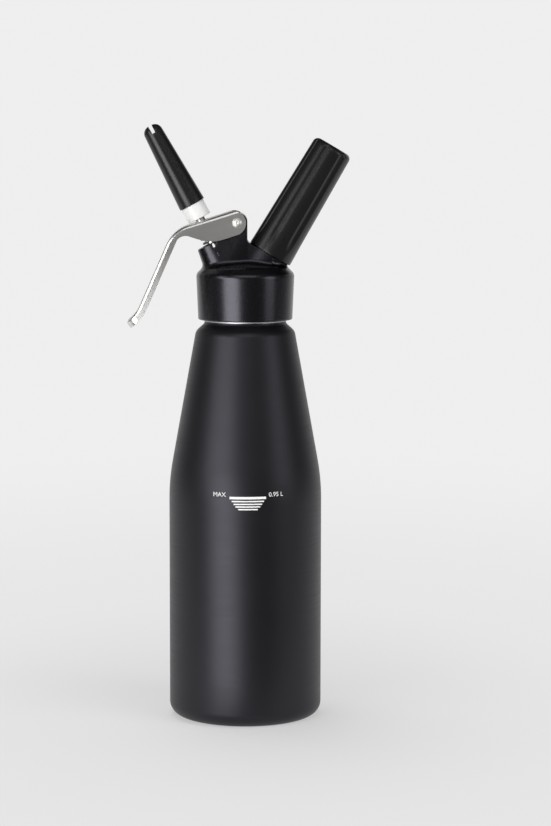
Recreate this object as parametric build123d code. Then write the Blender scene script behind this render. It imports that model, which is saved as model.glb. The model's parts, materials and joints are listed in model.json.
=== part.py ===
from build123d import *
import os
from math import atan2, cos, dist, pi, radians, sin, sqrt, tan

# Cream whipper, in millimetres. The origin is the centre of the bottle's base, +Z is up,
# +X points to the charger holder and the valve leans towards -X, both in the plane Y = 0.

# Bottle
bottle_radius = 47.8
bottle_wall = 1.5
base_thickness = 3.0
base_round = 8.4
cylinder_height = 149.8         # where the straight wall and the cone would meet
cone_height = 93.4              # from there to where the cone and the shoulder would meet
body_round = 134.0
shoulder_step = 5.45            # how far the shoulder stands out from the neck
shoulder_slope = 48.0           # degrees from upright
shoulder_round = 6.0
neck_radius = 25.5
neck_round = 2.5
neck_land = 2.4                 # bare neck that shows under the collar
neck_length = 21.5              # from the collar's lower edge to the rim
neck_relief = 0.45              # how far the thread's root lies inside the bare neck
neck_wall = 1.75                # under the thread
neck_thread_height = 0.9
neck_thread_pitch = 4.0
neck_thread_turns = 4

# Head casting
collar_clearance = 0.3          # between the neck's thread and the collar's bore
collar_wall = 3.2               # at the collar's lower edge
collar_draft = 1.2              # how much wider the collar is at its top
collar_top = 4.5                # above the ceiling inside the collar
collar_edge = 0.8
collar_round = 2.5
crown_step = 4.95               # how far the crown lies inside the collar
crown_rise = 4.8                # above the collar's top
crown_round = 6.0
dome_rise = 4.8                 # above the crown
gasket_thickness = 2.5

# Valve, leaning to -X
valve_tilt = 28.3
valve_offset = 20.2
valve_rise = 23.7               # valve's origin, just below the boss's rim, above the ceiling
stem_radius = 4.0
stem_step = 1.0                 # shoulder that the washer sits on
stem_wall = 1.0                 # round the bore, in the stem's upper end
stem_clearance = 0.06
stem_foot_step = 2.5            # how far the foot stands out from the stem
stem_foot_thickness = 2.5
stem_foot_edge = 0.5
stem_foot_room = 2.0            # round the foot in its pocket
stem_port_radius = 1.3
stem_port_rise = 1.5            # above the seat
valve_seal_thickness = 2.0
o_ring_section = 1.8
o_ring_squeeze = 0.1
o_ring_round = 0.4              # share of the section
o_ring_drop = 5.5               # below the spring pocket's floor
seat_drop = 6.5                 # below the O-ring
spring_wire = 1.3
spring_turns = 6
spring_inner_gap = 0.7          # between the spring and the stem
spring_outer_gap = 1.0          # between the spring and its pocket
spring_end_gap = 0.1
spring_pocket_depth = 6.0
shoulder_lift = 11.5            # stem's shoulder above the valve's origin
washer_overhang = 0.2           # past the spring
washer_thickness = 1.2
boss_wall = 3.5                 # at the boss's rim
boss_lip = 0.6                  # rim above the valve's origin
boss_flare = 9.5                # degrees
boss_root = 3.0                 # below the seat, in the dome
boss_edge = 0.6
boss_sweep = 4.0                # how far down the boss the lever's cheeks reach
drain_width = 1.6
drain_height = 2.7
drain_land = 0.45               # between the drain and the boss's rim
drain_round = 0.75
liner_wall = 0.7                # white liner of the spring's pocket
liner_clearance = 0.05
liner_drop = 0.2                # below the valve's origin
liner_sink = 0.3                # how deep its tabs end in the drain

# Tip adaptor and nozzle
adaptor_gap = 3.2               # between the lever's web and the adaptor, along the stem
adaptor_length = 9.67
adaptor_step = 1.9              # how far the adaptor stands out from its spigot
adaptor_edge = 0.5
adaptor_socket = 8.0
adaptor_ledge = 0.4             # that the adaptor's seal rests on
adaptor_seal_thickness = 1.4
spigot_wall = 3.0               # with its thread
spigot_length = 11.5
spigot_thread_height = 0.5
spigot_thread_pitch = 2.0
spigot_thread_turns = 4
nozzle_seal_thickness = 1.5
nozzle_clearance = 0.3
nozzle_skirt = 2.55             # wall round the socket
nozzle_taper = 2.65             # how much thinner the tip is
nozzle_length = 55.33
nozzle_wall = 1.7               # at the tip
nozzle_ledge = 1.7              # that the nozzle's seal rests on
nozzle_flat = 0.8               # radius of the flat at the domed tip
nozzle_edge = 0.5
nozzle_slot_width = 2.4
nozzle_slot_depth = 5.2

# Lever and its pivot
pivot_offset = 5.0
lever_throw = 10.4              # turn that lays the web flat on the washer
web_clearance = 0.17            # between the web and the washer's rim at rest
web_under = 6.27                # from the pivot to the web's underside
web_reach = 39.8                # from the pivot to the bend
web_end = 1.0                   # where the web stops, behind the pivot
sheet = 1.5
bend_turn = 48.3
bend_round = 22.0
handle_length = 56.8            # from the bend to the kick
kick_turn = 28.0
kick_round = 22.0
kick_length = 8.0
handle_end_round = 7.0
flange_depth = 4.95
press_round = 2.0
cheek_gap = 0.4                 # each side, between the boss and the cheeks
cheek_depth = 14.87
cheek_end = 5.4                 # from the pivot to the round end
cheek_end_flat = 0.03
cheek_corner = 19.4             # from the pivot to the lower corner
cheek_corner_round = 25.0
crotch_rise = 2.5               # from the flange's bend to where the cheek's edge meets its line
crotch_round = 6.5
stem_slot_clearance = 0.6
stem_slot_shift = 1.0           # half the slot's straight length
bracket_inset = 0.3             # how far the bracket's sides lie inside the boss's rim
bracket_gap = 0.45              # between the bracket's round top and the web
bracket_lead = 0.48             # how far the upright edge stands before the round top
bracket_ear_round = 0.9         # share of the round top
bracket_back = 13.1             # from the pivot to the rear edge
bracket_rear_drop = 9.3
bracket_rear_round = 1.0
bracket_neck_drop = 3.3
bracket_neck_round = 2.0
bracket_fillet = 2.5
pin_radius = 1.9
pin_clearance = 0.06
pin_head_lip = 1.2
pin_head_height = 1.3
pin_dimple_radius = 1.2
pin_dimple_depth = 0.7

# Charger side, leaning to +X
charger_tilt = 30.7
charger_offset = 15.45
charger_rise = 16.8             # centre of the holder's rim above the ceiling
charger_radius = 9.0
charger_length = 66.0
charger_wall = 1.3
charger_neck_radius = 4.4
charger_neck_length = 8.0
charger_neck_round = 2.0
charger_lip_round = 0.5
charger_shoulder_round = 5.0
charger_end_round = 0.9         # share of the radius
charger_cap = 2.0
charger_seat = 8.0              # where the charger's neck ends, from the holder's rim
charger_clearance = 0.25
charger_gasket_thickness = 2.0
charger_boss_step = 1.75        # how far the boss lies inside the holder's rim
holder_gap = 0.4                # between the holder's rim and the head
holder_wall = 3.65              # at the top
holder_taper = 1.45             # how much wider the rim is
holder_crown = 3.25
holder_round = 3.5
holder_edge = 0.6
holder_skirt = 3.25             # wall round the thread
holder_clearance = 0.3
flute_count = 7
flute_first = -17.0             # degrees from the front
flute_radius = 4.5
flute_depth = 0.75
flute_start = 16.0              # where a flute has its full depth
flute_runout = 56.0
stub_setback = 2.0              # from the charger's shoulder
stub_neck_room = 0.4            # round the charger's neck
stub_thread_height = 0.8
stub_thread_pitch = 2.0
stub_thread_turns = 5
carrier_sink = 2.4              # carrier bore's floor below the holder's rim
carrier_clearance = 0.05
carrier_seal_thickness = 1.2
carrier_ledge = 0.8             # that the carrier's seal rests on
carrier_nose_length = 6.0
carrier_nose_room = 1.0         # below the nose
carrier_gas_bore = 0.8
carrier_port_radius = 0.64
carrier_pin_depth = 5.0
sleeve_wall = 0.8
sleeve_room = 1.0               # round the sleeve, for it to lift
sleeve_margin = 0.3             # nose left bare at each end of the sleeve
gas_hole_radius = 1.5
piercing_ledge = 0.4            # that the needle stands on
piercing_wall = 0.7
piercing_depth = 2.5            # how far the needle stands in the charger's neck
pierced_gap = 0.25

# Threads, as shares of their pitch, and cuts
thread_first = 0.6              # from the shank's end to the middle of the first ridge
thread_root_half = 0.35
thread_crest_half = 0.05
over = 1.0                      # how far a cut or a sunk root runs past a face
far = 2.0 * bottle_radius       # longer than any cut needs
near = 0.01                     # how close counts as the same place

# Heights and radii of the bottle and the collar
shoulder_radius = neck_radius + shoulder_step
shoulder_height = cylinder_height + cone_height
neck_foot = shoulder_height + shoulder_step / tan(radians(shoulder_slope))
neck_root = neck_radius - neck_relief
neck_bore = neck_root - neck_wall
collar_bottom = neck_foot + neck_land
neck_rim = collar_bottom + neck_length
ceiling = neck_rim + gasket_thickness
collar_bore = neck_root + neck_thread_height + collar_clearance
collar_low_radius = collar_bore + collar_wall
collar_radius = collar_low_radius + collar_draft
crown_radius = collar_radius - crown_step

# Radii round the valve's stem, and heights along it from the valve's origin
stem_tip_radius = stem_radius - stem_step
stem_bore = stem_tip_radius - stem_wall
stem_foot_radius = stem_radius + stem_foot_step
seat_pocket_radius = stem_foot_radius + stem_foot_room
guide_radius = stem_radius + stem_clearance
o_ring_inner = guide_radius - o_ring_section + o_ring_squeeze
spring_radius = stem_radius + spring_inner_gap + spring_wire / 2
washer_radius = spring_radius + spring_wire / 2 + washer_overhang
spring_pocket_radius = spring_radius + spring_wire / 2 + spring_outer_gap
boss_radius = spring_pocket_radius + boss_wall
boss_slope = tan(radians(boss_flare))
drain_top = boss_lip - drain_land
liner_radius = spring_pocket_radius - liner_clearance
o_ring_depth = spring_pocket_depth + o_ring_drop
seat_depth = o_ring_depth + seat_drop
stem_port_depth = seat_depth - stem_port_rise
foot_top = -seat_depth - valve_seal_thickness
washer_top = shoulder_lift + washer_thickness
adaptor_lift = washer_top + sheet + adaptor_gap
stem_end = adaptor_lift + adaptor_socket
socket_top = stem_end + adaptor_seal_thickness
spigot_base = adaptor_lift + adaptor_length
spigot_top = spigot_base + spigot_length
spigot_bore = stem_tip_radius - adaptor_ledge
spigot_radius = spigot_bore + spigot_wall
spigot_root = spigot_radius - spigot_thread_height
adaptor_radius = spigot_radius + adaptor_step
nozzle_seat = spigot_top + nozzle_seal_thickness
nozzle_tip = spigot_base + nozzle_length
nozzle_socket_radius = spigot_radius + nozzle_clearance
nozzle_radius = nozzle_socket_radius + nozzle_skirt
nozzle_tip_radius = nozzle_radius - nozzle_taper

# Radii round the charger, and heights along it from the holder's rim
holder_bore = charger_radius + charger_clearance
holder_top_radius = holder_bore + holder_wall
holder_radius = holder_top_radius + holder_taper
holder_thread_bore = holder_radius - holder_skirt
holder_floor = charger_seat + charger_length + charger_clearance
holder_length = holder_floor + holder_crown
charger_boss_radius = holder_radius - charger_boss_step
stub_radius = holder_thread_bore - holder_clearance
stub_root = stub_radius - stub_thread_height
stub_bore = charger_neck_radius + stub_neck_room
stub_length = charger_seat + charger_neck_length - stub_setback
carrier_radius = stub_bore - carrier_clearance
carrier_top = charger_seat - charger_gasket_thickness
carrier_seat = carrier_seal_thickness - carrier_sink
check_chamber_radius = stub_bore - carrier_ledge
carrier_nose_radius = check_chamber_radius - sleeve_room - sleeve_wall
carrier_nose_end = carrier_seat - carrier_nose_length
piercing_pin_radius = carrier_gas_bore + piercing_ledge
piercing_pin_bore = piercing_pin_radius - piercing_wall
pierced_radius = piercing_pin_radius + pierced_gap

# Valve, charger and lever planes
valve_lean = radians(valve_tilt)
valve_top = Vector(-valve_offset, 0, ceiling + valve_rise)
valve_axis = Vector(-sin(valve_lean), 0, cos(valve_lean))
valve_across = Vector(cos(valve_lean), 0, sin(valve_lean))
VALVE = Plane(valve_top, x_dir=valve_across, z_dir=valve_axis)

charger_lean = radians(charger_tilt)
charger_base = Vector(charger_offset, 0, ceiling + charger_rise)
charger_axis = Vector(sin(charger_lean), 0, cos(charger_lean))
charger_across = Vector(cos(charger_lean), 0, -sin(charger_lean))
CHARGER = Plane(charger_base, x_dir=charger_across, z_dir=charger_axis)

web_lean = valve_lean - radians(lever_throw)
web_normal = Vector(-sin(web_lean), 0, cos(web_lean))
web_way = Vector(cos(web_lean), 0, sin(web_lean))
washer_rim = valve_top + valve_axis * washer_top + valve_across * washer_radius
pivot_drop = (washer_rim.X + pivot_offset) * sin(web_lean) + web_under - web_clearance
pivot = Vector(-pivot_offset, 0, washer_rim.Z - pivot_drop / cos(web_lean))
LEVER = Plane(pivot, x_dir=web_way, z_dir=(0, -1, 0))
web_top = web_under + sheet
bracket_half = boss_radius - bracket_inset
bracket_round = web_under - bracket_gap
lever_half = boss_radius + boss_slope * boss_sweep + cheek_gap + sheet


def turned(plane, points, rounds=None):
    """A solid turned about the plane's Z axis from (radius, height) corners with their rounds."""
    corner_rounds = rounds if rounds else [0] * len(points)
    outline = FilletPolyline(*points, radius=corner_rounds, close=True)
    return plane * revolve(Plane.XZ * make_face(outline), Axis.Z)


def disc(plane, radius, low, high):
    """A cylinder on the plane's Z axis between two heights."""
    return turned(plane, [(0, low), (radius, low), (radius, high), (0, high)])


def ring(plane, inner, outer, low, high):
    """A flat ring on the plane's Z axis between two heights."""
    return turned(plane, [(inner, low), (outer, low), (outer, high), (inner, high)])


def thread(plane, root, height, end, pitch, turns):
    """Thread ridges, drawn as rings, that stand on a turned shank below its end."""
    wide = thread_root_half * pitch
    narrow = thread_crest_half * pitch
    sunk = root - height
    crest = root + height
    ridges = []
    for index in range(turns):
        middle = end - (thread_first + index) * pitch
        corners = [
            (sunk, middle - wide),
            (root, middle - wide),
            (crest, middle - narrow),
            (crest, middle + narrow),
            (root, middle + wide),
            (sunk, middle + wide),
        ]
        ridges.append(turned(plane, corners))
    return ridges


def bottle_outline(wall, floor, neck, top):
    """Corners and rounds of the bottle's side, drawn in from the outside by a wall."""
    cone_lean = atan2(bottle_radius - shoulder_radius, cone_height)
    slope_lean = radians(shoulder_slope)
    cone_shift = wall / cos(cone_lean)
    slope_shift = wall / cos(slope_lean)
    drop = (slope_shift - cone_shift) / (tan(slope_lean) - tan(cone_lean))
    corners = [
        (0, floor),
        (bottle_radius - wall, floor),
        (bottle_radius - wall, cylinder_height - wall * tan(cone_lean / 2)),
        (shoulder_radius - cone_shift + drop * tan(cone_lean), shoulder_height - drop),
        (neck, shoulder_height + (shoulder_radius - slope_shift - neck) / tan(slope_lean)),
        (neck, top),
        (0, top),
    ]
    rounds = [0, base_round - wall, body_round - wall, shoulder_round - wall, neck_round + wall, 0, 0]
    return corners, rounds


def make_bottle():
    """One-piece bottle with a plain base, a cone and a threaded neck."""
    outside, outside_rounds = bottle_outline(0, 0, neck_radius, collar_bottom)
    inside, inside_rounds = bottle_outline(bottle_wall, base_thickness, neck_bore, neck_rim + over)
    body = turned(Plane.XY, outside, outside_rounds)
    body += disc(Plane.XY, neck_root, collar_bottom - over, neck_rim)
    body += thread(Plane.XY, neck_root, neck_thread_height, neck_rim, neck_thread_pitch, neck_thread_turns)
    return body - turned(Plane.XY, inside, inside_rounds)


def make_head_gasket():
    """Flat ring between the bottle's rim and the head."""
    return ring(Plane.XY, neck_bore, neck_root, neck_rim, ceiling)


def make_head():
    """Die-cast head: collar, valve boss, lever bracket and charger stub in one piece."""
    solid = make_collar() + make_boss() + make_charger_boss() + make_bracket()
    solid -= disc(Plane.XY, collar_bore, collar_bottom - over, ceiling)
    solid += make_stub()
    solid -= valve_bores()
    solid -= charger_bores()
    return solid - LEVER * Cylinder(pin_radius + pin_clearance, 3 * bracket_half)


def make_collar():
    """Collar with its shoulder and the dome above it, not yet bored."""
    shoulder = ceiling + collar_top
    crown = shoulder + crown_rise
    return turned(
        Plane.XY,
        [
            (0, collar_bottom),
            (collar_low_radius, collar_bottom),
            (collar_radius, shoulder),
            (crown_radius, crown),
            (0, crown + dome_rise),
        ],
        [0, collar_edge, collar_round, crown_round, 0],
    )


def boss_reach(height):
    """Radius of the flaring boss at a height along the valve."""
    return boss_radius + boss_slope * (boss_lip - height)


def make_boss():
    """Flaring boss that carries the valve."""
    foot = -seat_depth - boss_root
    return turned(
        VALVE,
        [(0, foot), (boss_reach(foot), foot), (boss_radius, boss_lip), (0, boss_lip)],
        [0, 0, boss_edge, 0],
    )


def make_charger_boss():
    """Round boss under the charger holder's rim, down to the ceiling."""
    return disc(CHARGER, charger_boss_radius, -charger_rise / cos(charger_lean), -holder_gap)


def charger_face(across):
    """Height of the charger boss's face at a distance from the bottle's axis."""
    return charger_base.Z - holder_gap / cos(charger_lean) + (charger_base.X - across) * tan(charger_lean)


def make_bracket():
    """Upright plate that carries the lever's pin and runs down to the charger boss."""
    top = pivot.Z + bracket_round
    front = pivot.X + bracket_round + bracket_lead
    ear = pivot.X - bracket_round
    back = pivot.X - bracket_back
    outline = FilletPolyline(
        (back, ceiling),
        (back, pivot.Z - bracket_rear_drop),
        (ear, pivot.Z - bracket_neck_drop),
        (ear, top),
        (front, top),
        (front, charger_face(front)),
        (charger_base.X, charger_face(charger_base.X)),
        (charger_base.X, ceiling),
        radius=[
            0,
            bracket_rear_round,
            bracket_neck_round,
            bracket_ear_round * bracket_round,
            bracket_round,
            bracket_fillet,
            0,
            0,
        ],
        close=True,
    )
    return Plane.XZ * extrude(make_face(outline), bracket_half, both=True)


def make_stub():
    """Threaded stub that the charger holder screws on."""
    stub = disc(CHARGER, stub_root, -over, stub_length)
    return stub + thread(
        CHARGER, stub_root, stub_thread_height, stub_length, stub_thread_pitch, stub_thread_turns
    )


def valve_bores():
    """Spring pocket, stem guide, seat pocket and the drain slot through the boss's walls."""
    return [
        disc(VALVE, spring_pocket_radius, -spring_pocket_depth, far),
        disc(VALVE, guide_radius, -seat_depth - over, over - spring_pocket_depth),
        disc(VALVE, seat_pocket_radius, -far / 2, -seat_depth),
        drain_bar(0),
    ]


def drain_bar(margin):
    """Round-cornered bar through both drain slots, drawn in by a margin."""
    bar = Box(drain_width - 2 * margin, 3 * boss_radius, drain_height - 2 * margin)
    bar = fillet(bar.edges().filter_by(Axis.Y), drain_round - margin)
    return VALVE * Pos(0, 0, drain_top - drain_height / 2) * bar


def charger_bores():
    """Carrier bore in the stub, the check valve's chamber and the gas hole to the bottle."""
    return [
        disc(CHARGER, stub_bore, -carrier_sink, stub_length + over),
        disc(CHARGER, check_chamber_radius, carrier_nose_end - carrier_nose_room, 0),
        disc(CHARGER, gas_hole_radius, -far / 2, 0),
    ]


def make_valve_stem():
    """Hollow stem with a foot, an O-ring groove, cross ports and a shoulder for the washer."""
    foot = foot_top - stem_foot_thickness
    groove_low = -o_ring_depth - o_ring_section / 2
    bore_floor = -stem_port_depth - stem_port_radius - stem_wall
    stem = turned(
        VALVE,
        [
            (0, foot),
            (stem_foot_radius, foot),
            (stem_foot_radius, foot_top),
            (stem_radius, foot_top),
            (stem_radius, shoulder_lift),
            (stem_tip_radius, shoulder_lift),
            (stem_tip_radius, stem_end),
            (0, stem_end),
        ],
        [0, stem_foot_edge, stem_foot_edge, 0, 0, 0, 0, 0],
    )
    stem -= ring(VALVE, o_ring_inner, stem_radius + over, groove_low, groove_low + o_ring_section)
    stem -= disc(VALVE, stem_bore, bore_floor, stem_end + over)
    port = Pos(0, 0, -stem_port_depth) * Rot(90, 0, 0) * Cylinder(stem_port_radius, 3 * stem_radius)
    return stem - VALVE * port


def make_valve_seal():
    """Flat ring on the stem's foot that closes against the seat."""
    return ring(VALVE, stem_radius, stem_foot_radius, foot_top, -seat_depth)


def make_stem_o_ring():
    """O-ring, drawn as it lies squeezed in its groove."""
    outer = stem_radius + stem_clearance / 2
    half = o_ring_section / 2 - o_ring_squeeze
    corners = [
        (o_ring_inner, -o_ring_depth - half),
        (outer, -o_ring_depth - half),
        (outer, -o_ring_depth + half),
        (o_ring_inner, -o_ring_depth + half),
    ]
    return turned(VALVE, corners, [o_ring_round * o_ring_section] * 4)


def helix_arcs(radius, pitch, turns):
    """Edges of a helix: a pair of tangent arcs for each quarter turn."""
    edges = []
    slope = pitch / (2 * pi * radius)
    for quarter in range(4 * turns):
        start_angle = quarter * pi / 2
        middle_angle = start_angle + pi / 4
        start = Vector(radius * cos(start_angle), radius * sin(start_angle), pitch * quarter / 4)
        stop = Vector(-start.Y, start.X, start.Z + pitch / 4)
        heading = Vector(-sin(start_angle), cos(start_angle), slope).normalized()
        outward = Vector(cos(middle_angle), sin(middle_angle), 0)
        to_axis = Vector(0, 0, start.Z + pitch / 8) - start
        turn = heading.dot(outward)
        along = heading.dot(to_axis)
        reach = to_axis.dot(outward)
        rest = turn * (2 * along * reach - turn * to_axis.dot(to_axis))
        middle = start + to_axis + outward * ((sqrt(along * along - rest) - along) / turn)
        first = Edge.make_tangent_arc(start, heading, middle)
        edges += [first, Edge.make_tangent_arc(middle, first % 1, stop)]
    return edges


def make_return_spring():
    """Round wire spring between the pocket's floor and the washer, with short straight ends."""
    low = spring_end_gap - spring_pocket_depth
    high = shoulder_lift - spring_end_gap
    end_share = spring_wire / (2 * pi * spring_radius)
    pitch = (high - low - spring_wire) / (spring_turns + 2 * end_share)
    first_middle = low + spring_wire / 2 + end_share * pitch
    arcs = helix_arcs(spring_radius, pitch, spring_turns)
    begin = arcs[0] @ 0
    finish = arcs[-1] @ 1
    lead = Edge.make_line(begin - (arcs[0] % 0) * spring_wire, begin)
    tail = Edge.make_line(finish, finish + (arcs[-1] % 1) * spring_wire)
    path = Wire([lead, *arcs, tail])
    wire = sweep(Plane(path @ 0, z_dir=path % 0) * Circle(spring_wire / 2), path=path)
    samples = [edge @ share for edge in arcs for share in (0.0, 0.5)]
    half_turn = len(samples) // (2 * spring_turns)
    gap = min(
        dist(tuple(one), tuple(other)) - spring_wire
        for index, one in enumerate(samples)
        for other in samples[index + half_turn:]
    )
    print(f"return_spring: least gap between turns {gap:.2f} mm")
    return VALVE * Pos(0, 0, first_middle) * wire


def make_spring_liner():
    """Plastic liner of the spring's pocket, with a tab in each drain slot."""
    inner = liner_radius - liner_wall
    low = liner_clearance - spring_pocket_depth
    drain_low = drain_top - drain_height
    tab_room = turned(
        VALVE,
        [
            (inner, drain_low),
            (boss_reach(drain_low) - liner_sink, drain_low),
            (boss_reach(drain_top) - liner_sink, drain_top),
            (inner, drain_top),
        ],
    )
    return ring(VALVE, inner, liner_radius, low, -liner_drop) + (drain_bar(liner_clearance) & tab_room)


def make_thrust_washer():
    """Washer on the stem's shoulder, between the spring and the lever's web."""
    return ring(VALVE, stem_tip_radius, washer_radius, shoulder_lift, washer_top)


def make_tip_adaptor():
    """Adaptor that screws on the stem and carries the nozzle on its threaded spigot."""
    adaptor = turned(
        VALVE,
        [
            (0, adaptor_lift),
            (adaptor_radius, adaptor_lift),
            (adaptor_radius, spigot_base),
            (spigot_root, spigot_base),
            (spigot_root, spigot_top),
            (0, spigot_top),
        ],
        [0, adaptor_edge, adaptor_edge, 0, 0, 0],
    )
    adaptor += thread(
        VALVE, spigot_root, spigot_thread_height, spigot_top, spigot_thread_pitch, spigot_thread_turns
    )
    adaptor -= disc(VALVE, stem_tip_radius, adaptor_lift - over, socket_top)
    return adaptor - disc(VALVE, spigot_bore, socket_top - over, spigot_top + over)


def make_adaptor_seal():
    """Flat ring between the stem's end and the adaptor."""
    return ring(VALVE, stem_bore, stem_tip_radius, stem_end, socket_top)


def make_nozzle_seal():
    """Flat ring between the adaptor's spigot and the nozzle."""
    return ring(VALVE, spigot_bore, spigot_root, spigot_top, nozzle_seat)


def make_nozzle():
    """Slim nozzle with a socket, a tapering bore and one slot across its domed tip."""
    dome = nozzle_tip_radius - nozzle_flat
    bore_low = nozzle_socket_radius - nozzle_ledge
    bore_high = nozzle_tip_radius - nozzle_wall
    bore_top = nozzle_tip - nozzle_wall
    body = turned(
        VALVE,
        [(0, spigot_base), (nozzle_radius, spigot_base), (nozzle_tip_radius, nozzle_tip), (0, nozzle_tip)],
        [0, nozzle_edge, dome, 0],
    )
    body -= disc(VALVE, nozzle_socket_radius, spigot_base - over, nozzle_seat)
    body -= turned(
        VALVE,
        [
            (0, nozzle_seat - over),
            (bore_low, nozzle_seat - over),
            (bore_low, nozzle_seat),
            (bore_high, bore_top),
            (0, bore_top),
        ],
        [0, 0, 0, dome - nozzle_wall, 0],
    )
    slot_middle = nozzle_tip - nozzle_slot_depth + far / 2
    slot = Pos(0, 0, slot_middle) * Box(nozzle_slot_width, 3 * nozzle_radius, far)
    return body - VALVE * slot


def lever_route(inset):
    """Corners of the lever's back from above the pivot to the end, drawn in by an inset.

    Also gives the way that the end points and the side that the inset lies on there.
    """
    steps = [web_reach, handle_length, kick_length]
    turns = [bend_turn, -kick_turn, 0]
    heading = pi
    spot = Vector(0, web_top)
    side = Vector(-sin(heading), cos(heading))
    corners = [spot + side * inset]
    for step, turn in zip(steps, turns):
        spot = spot + Vector(cos(heading), sin(heading)) * step
        heading += radians(turn)
        next_side = Vector(-sin(heading), cos(heading))
        corners.append(spot + (side + next_side) * (inset / (1 + side.dot(next_side))))
        side = next_side
    return corners, Vector(cos(heading), sin(heading)), side


def make_lever():
    """Pressed channel: two cheeks round the bracket, a web and a long bent handle."""
    back, end_way, side = lever_route(0)
    blank = pressed_stock(back, end_way, side)
    blank &= extrude(make_face(lever_outline(back)), lever_half, both=True)
    solid = blank - lever_cavity(end_way) - stem_slot()
    return LEVER * (solid - Cylinder(pin_radius, 3 * lever_half))


def pressed_stock(back, end_way, side):
    """Block under the lever's back, with the edges that the press leaves round."""
    below = back[-1] + side * far
    outline = FilletPolyline(
        (cheek_end, web_top),
        *back[1:],
        below,
        (cheek_end, below.Y),
        radius=[0, bend_round, kick_round, 0, 0, 0],
        close=True,
    )
    stock = extrude(make_face(outline), lever_half, both=True)
    stock = fillet(end_edges(stock, end_way, back[-1]), handle_end_round)
    return fillet(back_edges(stock, back), press_round)


def lever_outline(back):
    """Side view of the lever: its back, the handle's flange and the cheek."""
    flange, _, _ = lever_route(flange_depth)
    crotch = flange[1] + (flange[1] - flange[2]).normalized() * crotch_rise
    cheek_low = web_top - cheek_depth
    end_round = (cheek_depth - cheek_end_flat) / 2
    return FilletPolyline(
        (cheek_end, web_top),
        *back[1:],
        *reversed(flange[2:]),
        crotch,
        (-cheek_corner, cheek_low),
        (cheek_end, cheek_low),
        radius=[
            end_round,
            bend_round,
            kick_round,
            0,
            0,
            kick_round + flange_depth,
            crotch_round,
            cheek_corner_round,
            end_round,
        ],
        close=True,
    )


def end_edges(blank, end_way, end_corner):
    """The two corners of the handle's end, which run across the channel's back."""
    reach = end_way.dot(end_corner)
    across = Axis((0, 0, 0), (-end_way.Y, end_way.X, 0))
    return [
        edge
        for edge in blank.edges().filter_by(across)
        if abs(end_way.dot(edge.center()) - reach) < near and abs(edge.center().Z) > lever_half / 2
    ]


def back_edges(blank, back):
    """The outer edges of the channel's back, which the press leaves round."""
    outer = []
    back_line = FilletPolyline(*back, radius=[bend_round, kick_round])
    for edge in blank.edges():
        if edge.length < near:
            continue
        middle = edge @ 0.5
        on_back = Vertex(middle.X, middle.Y, 0).distance_to(back_line) < near
        runs_along = abs((edge % 0.5).Z) < 1 - near
        at_side = abs(middle.Z) > lever_half - handle_end_round
        if on_back and runs_along and at_side:
            outer.append(edge)
    return outer


def lever_cavity(end_way):
    """The space inside the channel, open below the web and past the pivot."""
    inner, _, side = lever_route(sheet)
    stop = inner[-1] - end_way * sheet
    below = stop + side * far
    outline = FilletPolyline(
        (far, far),
        (-web_end, far),
        (-web_end, web_under),
        *inner[1:-1],
        stop,
        below,
        (far, below.Y),
        radius=[0, 0, 0, bend_round - sheet, kick_round + sheet, 0, 0, 0],
        close=True,
    )
    space = extrude(make_face(outline), lever_half - sheet, both=True)
    return fillet(end_edges(space, end_way, stop), handle_end_round - sheet)


def stem_slot():
    """Slot in the web that lets the stem through while the lever turns."""
    mid_web = web_under + sheet / 2
    stem_rise = (mid_web - (valve_top - pivot).dot(web_normal)) / valve_axis.dot(web_normal)
    stem_cross = (valve_top + valve_axis * stem_rise - pivot).dot(web_way)
    width = 2 * (stem_tip_radius + stem_slot_clearance)
    start = Plane((stem_cross + stem_slot_shift, web_under - sheet, 0), x_dir=(1, 0, 0), z_dir=(0, 1, 0))
    return extrude(start * SlotCenterToCenter(2 * stem_slot_shift, width), 3 * sheet)


def make_lever_pin():
    """Rivet through both cheeks, with a domed and dimpled head at each end."""
    head_radius = pin_radius + pin_head_lip
    head_end = lever_half + pin_head_height
    head_curve = (head_radius**2 + pin_head_height**2) / (2 * pin_head_height)
    dimple_curve = (pin_dimple_radius**2 + pin_dimple_depth**2) / (2 * pin_dimple_depth)
    pin = disc(Plane.XY, pin_radius, -lever_half, lever_half)
    for way in (1, -1):
        ball = Pos(0, 0, way * (head_end - head_curve)) * Sphere(head_curve)
        cap = Pos(0, 0, way * (head_end - pin_head_height / 2)) * Cylinder(head_radius, pin_head_height)
        pin += ball & cap
        pin -= Pos(0, 0, way * (head_end + dimple_curve - pin_dimple_depth)) * Sphere(dimple_curve)
    return LEVER * pin


def make_charger_holder():
    """Screw cap for the charger, with shallow flutes that run out above its rim."""
    body = turned(
        CHARGER,
        [(0, 0), (holder_radius, 0), (holder_top_radius, holder_length), (0, holder_length)],
        [0, holder_edge, holder_round, 0],
    )
    body -= disc(CHARGER, holder_thread_bore, -over, stub_length + holder_clearance)
    body -= disc(CHARGER, holder_bore, 0, holder_floor)
    for index in range(flute_count):
        angle = flute_first + index * 360 / flute_count
        body -= CHARGER * Rot(0, 0, angle) * flute_cutter()
    return body


def flute_cutter():
    """Round cutter along the holder's flank at the front, lifting off towards the rim."""
    slope = holder_taper / holder_length
    run = Vector(0, slope, 1).normalized()
    start_radius = holder_radius - slope * flute_start + flute_radius - flute_depth
    start = Vector(0, -start_radius, flute_start)
    top = start + run * (holder_length - flute_start + holder_round)
    low = start - run * flute_start - Vector(0, 1, 0) * (flute_start**2 / (2 * flute_runout))
    straight = Edge.make_line(top, start)
    lifting = Edge.make_tangent_arc(start, run * -1, low)
    path = Wire([straight, lifting])
    return sweep(Plane(top, z_dir=run * -1) * Circle(flute_radius), path=path)


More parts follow.
